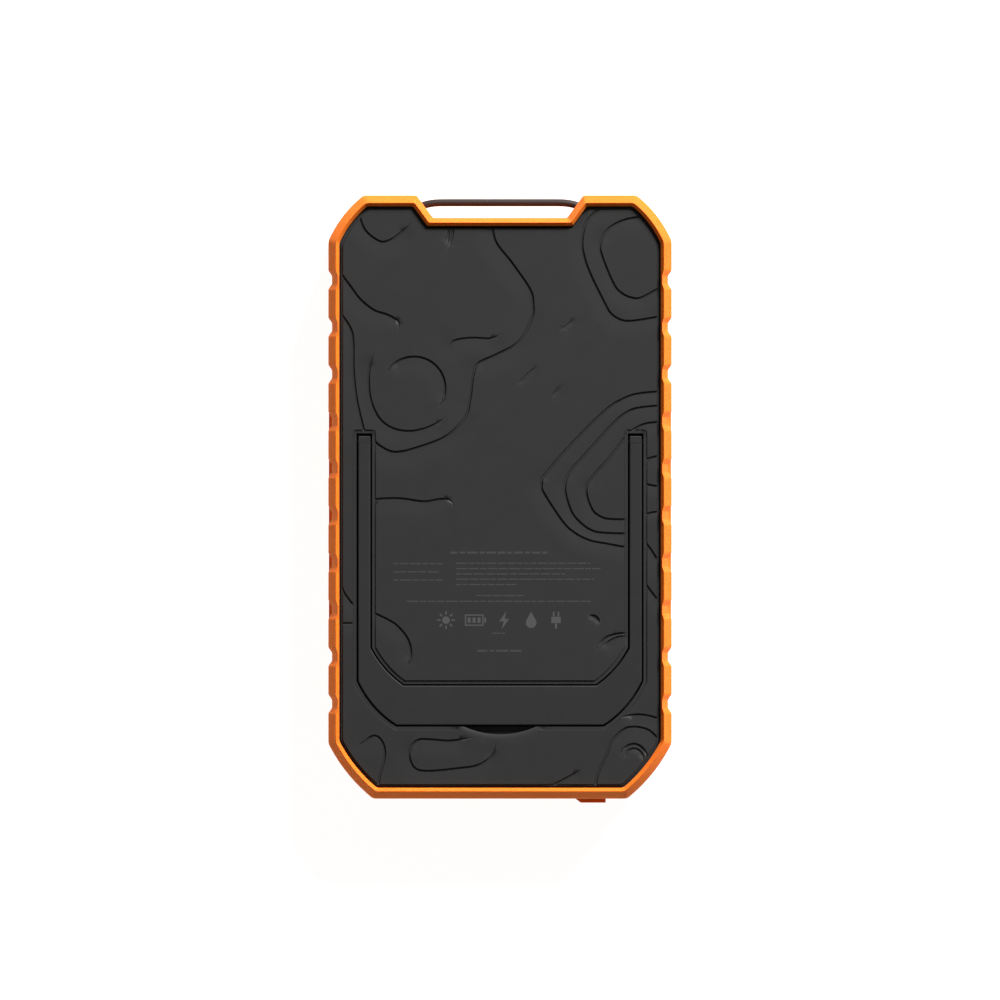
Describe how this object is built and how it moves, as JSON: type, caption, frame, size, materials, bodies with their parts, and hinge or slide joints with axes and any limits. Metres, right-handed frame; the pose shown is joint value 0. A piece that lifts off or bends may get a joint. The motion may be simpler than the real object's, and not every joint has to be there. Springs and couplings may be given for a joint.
{
  "type": "solar power bank",
  "caption": "Rugged flat solar power bank with a rubber bumper, notched end with hang bar, fold-out U stand, solar panel front and covered charging ports.",
  "frame": {"origin": "middle of the whole object's box in plan, on the surface it lies on (solar side down)", "axes": "+Z out of the back cover, +Y along the length towards the hang bar, +X to the right seen from the back"},
  "size_m": [0.084, 0.1486, 0.022],
  "materials": {
    "bumper_rubber": "moulded orange rubber, satin",
    "cover_plastic": "fine matte texture, dark grey",
    "stand_plastic": "fine matte texture, dark grey",
    "black_plastic": "fine matte",
    "painted_steel": "black coated steel, semi-gloss",
    "steel": "plain zinc plated",
    "socket_steel": "nickel plated sheet",
    "tongue_white": "white insulator",
    "chip_black": "moulded epoxy",
    "gasket_rubber": "black silicone",
    "panel_film": "clear laminated film over the cells",
    "solar_silicon": "monocrystalline silicon with silver fingers",
    "panel_board": "black panel backing",
    "circuit_board": "green solder mask",
    "ferrite": "moulded ferrite",
    "capacitor_can": "bare can",
    "cell_foil": "aluminium laminate pouch",
    "foam": "closed cell foam",
    "light_pipe": "clear acrylic",
    "led_body": "chip LED",
    "wire_red": "silicone insulation",
    "wire_black": "silicone insulation"
  },
  "bodies": {
    "root": {"bumper": "bumper_rubber", "port_cover_anchor": "bumper_rubber", "back_housing": "cover_plastic", "front_cover": "cover_plastic", "port_frame": "black_plastic", "hang_bar": "painted_steel", "case_screw_1": "steel", "case_screw_2": "steel", "case_screw_3": "steel", "case_screw_4": "steel", "case_screw_5": "steel", "case_screw_6": "steel", "stand_pin_left": "steel", "stand_pin_right": "steel", "usb_a_socket_left": "socket_steel", "usb_a_socket_right": "socket_steel", "usb_c_socket": "socket_steel", "usb_a_tongue_left": "tongue_white", "usb_a_tongue_right": "tongue_white", "usb_c_tongue": "chip_black", "charge_controller": "chip_black", "button_switch": "chip_black", "perimeter_gasket": "gasket_rubber", "panel_sheet": "panel_film", "solar_cell_1": "solar_silicon", "solar_cell_2": "solar_silicon", "solar_cell_3": "solar_silicon", "solar_cell_4": "solar_silicon", "solar_cell_5": "solar_silicon", "solar_cell_6": "solar_silicon", "panel_backing": "panel_board", "main_board": "circuit_board", "protection_board": "circuit_board", "boost_inductor": "ferrite", "capacitor_1": "capacitor_can", "capacitor_2": "capacitor_can", "battery_cell_front": "cell_foil", "battery_cell_back": "cell_foil", "foam_pad": "foam", "light_pipe_1": "light_pipe", "light_pipe_2": "light_pipe", "light_pipe_3": "light_pipe", "light_pipe_4": "light_pipe", "status_led_1": "led_body", "status_led_2": "led_body", "status_led_3": "led_body", "status_led_4": "led_body", "battery_lead_red": "wire_red", "panel_lead_red": "wire_red", "battery_lead_black": "wire_black", "panel_lead_black": "wire_black"},
    "kickstand": {"kickstand": "stand_plastic"},
    "port_cover": {"port_cover": "bumper_rubber"},
    "power_button": {"power_button": "bumper_rubber"}
  },
  "joints": [
    {"name": "kickstand_hinge", "type": "hinge", "parent": "root", "child": "kickstand", "pos_m": [0, 0.01395, 0.01925], "axis": [-1, 0, 0], "range_deg": [0, 60]},
    {"name": "port_cover_hinge", "type": "hinge", "parent": "root", "child": "port_cover", "pos_m": [-0.027, -0.07325, 0.011], "axis": [0, 0, -1], "range_deg": [0, 100]},
    {"name": "power_button_press", "type": "slide", "parent": "root", "child": "power_button", "axis": [0, 0, 1], "range_m": [0, 0.0004], "stiffness_N_per_m": 1000}
  ]
}
